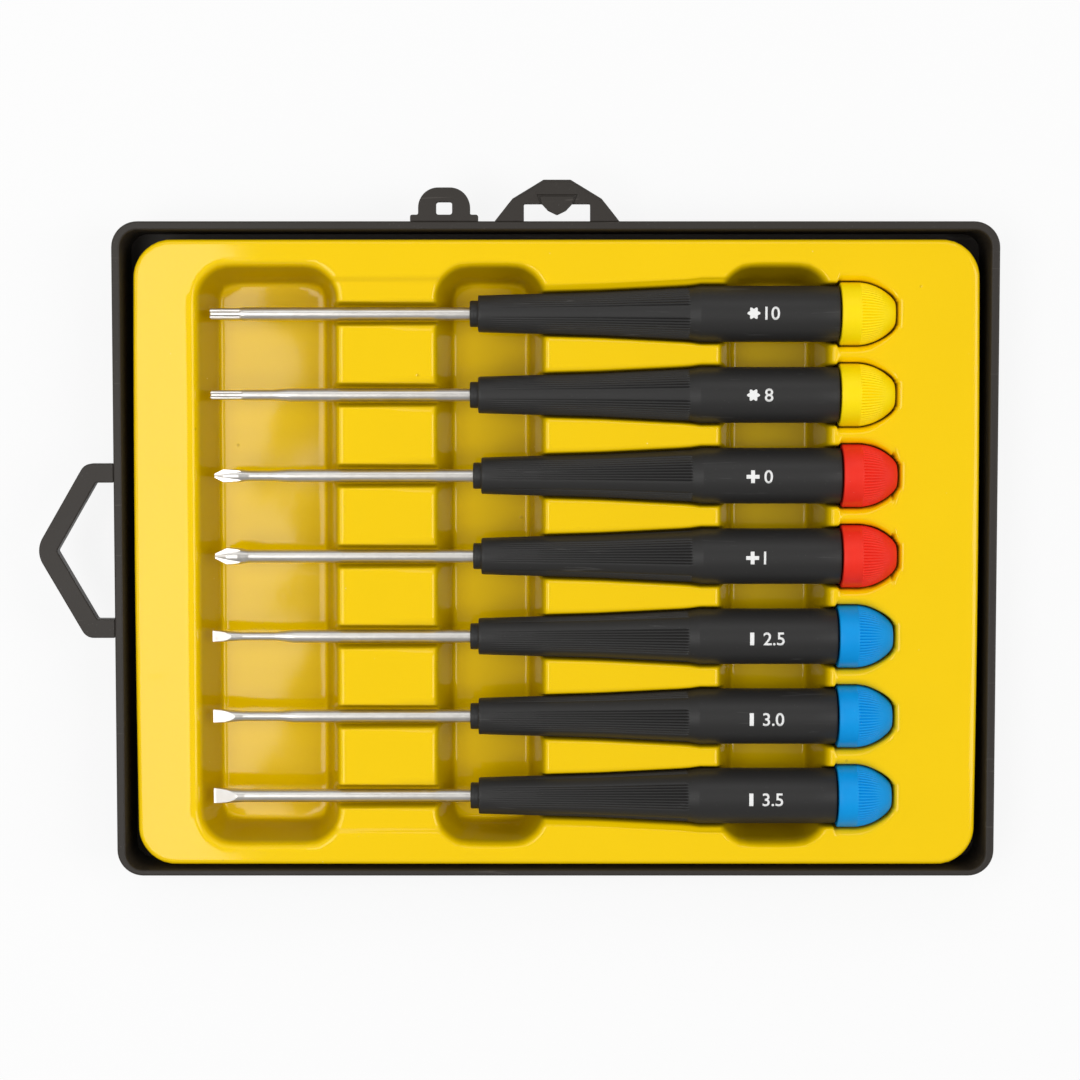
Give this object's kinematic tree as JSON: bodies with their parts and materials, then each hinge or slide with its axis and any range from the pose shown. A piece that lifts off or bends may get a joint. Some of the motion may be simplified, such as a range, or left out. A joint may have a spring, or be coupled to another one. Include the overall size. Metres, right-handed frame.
{
  "type": "precision screwdriver set",
  "caption": "small screwdrivers with star, cross and slotted tips and coloured swivel caps, lying in a formed yellow tray inside an open black carrying case with a hang tab",
  "frame": {"origin": "centre of the case's flat underside", "axes": "+X from the blade tips to the caps, +Y to the side with the hang tab, +Z out of the open face of the case"},
  "size_m": [0.2214, 0.1611, 0.022],
  "materials": {
    "case_plastic": "moulded black polypropylene, faint satin grain",
    "tray_plastic": "glossy vacuum-formed yellow sheet",
    "blade_steel": "satin nickel-plated steel",
    "handle_plastic": "fine-grained matt black polypropylene",
    "cap_yellow": "satin yellow plastic",
    "cap_red": "satin red plastic",
    "cap_blue": "satin blue plastic"
  },
  "bodies": {
    "case": {"case_base": "case_plastic", "carry_handle": "case_plastic", "hang_tab": "case_plastic", "lock_tab": "case_plastic"},
    "tray": {"tray": "tray_plastic"},
    "driver_star_t10": {"blade_star_t10": "blade_steel", "handle_star_t10": "handle_plastic"},
    "swivel_star_t10": {"cap_star_t10": "cap_yellow"},
    "driver_star_t8": {"blade_star_t8": "blade_steel", "handle_star_t8": "handle_plastic"},
    "swivel_star_t8": {"cap_star_t8": "cap_yellow"},
    "driver_cross_ph0": {"blade_cross_ph0": "blade_steel", "handle_cross_ph0": "handle_plastic"},
    "swivel_cross_ph0": {"cap_cross_ph0": "cap_red"},
    "driver_cross_ph1": {"blade_cross_ph1": "blade_steel", "handle_cross_ph1": "handle_plastic"},
    "swivel_cross_ph1": {"cap_cross_ph1": "cap_red"},
    "driver_slot_2_5": {"blade_slot_2_5": "blade_steel", "handle_slot_2_5": "handle_plastic"},
    "swivel_slot_2_5": {"cap_slot_2_5": "cap_blue"},
    "driver_slot_3_0": {"blade_slot_3_0": "blade_steel", "handle_slot_3_0": "handle_plastic"},
    "swivel_slot_3_0": {"cap_slot_3_0": "cap_blue"},
    "driver_slot_3_5": {"blade_slot_3_5": "blade_steel", "handle_slot_3_5": "handle_plastic"},
    "swivel_slot_3_5": {"cap_slot_3_5": "cap_blue"}
  },
  "joints": [
    {"name": "tray_lift", "type": "slide", "parent": "case", "child": "tray", "axis": [0, 0, 1], "range_m": [0, 0.03]},
    {"name": "lift_star_t10", "type": "slide", "parent": "tray", "child": "driver_star_t10", "axis": [0, 0, 1], "range_m": [0, 0.03]},
    {"name": "spin_star_t10", "type": "hinge", "parent": "driver_star_t10", "child": "swivel_star_t10", "pos_m": [0.0653, 0.0547, 0.0147], "axis": [1, 0, 0], "continuous": true},
    {"name": "lift_star_t8", "type": "slide", "parent": "tray", "child": "driver_star_t8", "axis": [0, 0, 1], "range_m": [0, 0.03]},
    {"name": "spin_star_t8", "type": "hinge", "parent": "driver_star_t8", "child": "swivel_star_t8", "pos_m": [0.0653, 0.036, 0.0147], "axis": [1, 0, 0], "continuous": true},
    {"name": "lift_cross_ph0", "type": "slide", "parent": "tray", "child": "driver_cross_ph0", "axis": [0, 0, 1], "range_m": [0, 0.03]},
    {"name": "spin_cross_ph0", "type": "hinge", "parent": "driver_cross_ph0", "child": "swivel_cross_ph0", "pos_m": [0.066, 0.0173, 0.0147], "axis": [1, 0, 0], "continuous": true},
    {"name": "lift_cross_ph1", "type": "slide", "parent": "tray", "child": "driver_cross_ph1", "axis": [0, 0, 1], "range_m": [0, 0.03]},
    {"name": "spin_cross_ph1", "type": "hinge", "parent": "driver_cross_ph1", "child": "swivel_cross_ph1", "pos_m": [0.066, -0.0014, 0.0147], "axis": [1, 0, 0], "continuous": true},
    {"name": "lift_slot_2_5", "type": "slide", "parent": "tray", "child": "driver_slot_2_5", "axis": [0, 0, 1], "range_m": [0, 0.03]},
    {"name": "spin_slot_2_5", "type": "hinge", "parent": "driver_slot_2_5", "child": "swivel_slot_2_5", "pos_m": [0.0653, -0.0201, 0.0147], "axis": [1, 0, 0], "continuous": true},
    {"name": "lift_slot_3_0", "type": "slide", "parent": "tray", "child": "driver_slot_3_0", "axis": [0, 0, 1], "range_m": [0, 0.03]},
    {"name": "spin_slot_3_0", "type": "hinge", "parent": "driver_slot_3_0", "child": "swivel_slot_3_0", "pos_m": [0.0653, -0.0388, 0.0147], "axis": [1, 0, 0], "continuous": true},
    {"name": "lift_slot_3_5", "type": "slide", "parent": "tray", "child": "driver_slot_3_5", "axis": [0, 0, 1], "range_m": [0, 0.03]},
    {"name": "spin_slot_3_5", "type": "hinge", "parent": "driver_slot_3_5", "child": "swivel_slot_3_5", "pos_m": [0.0653, -0.0575, 0.0147], "axis": [1, 0, 0], "continuous": true}
  ]
}
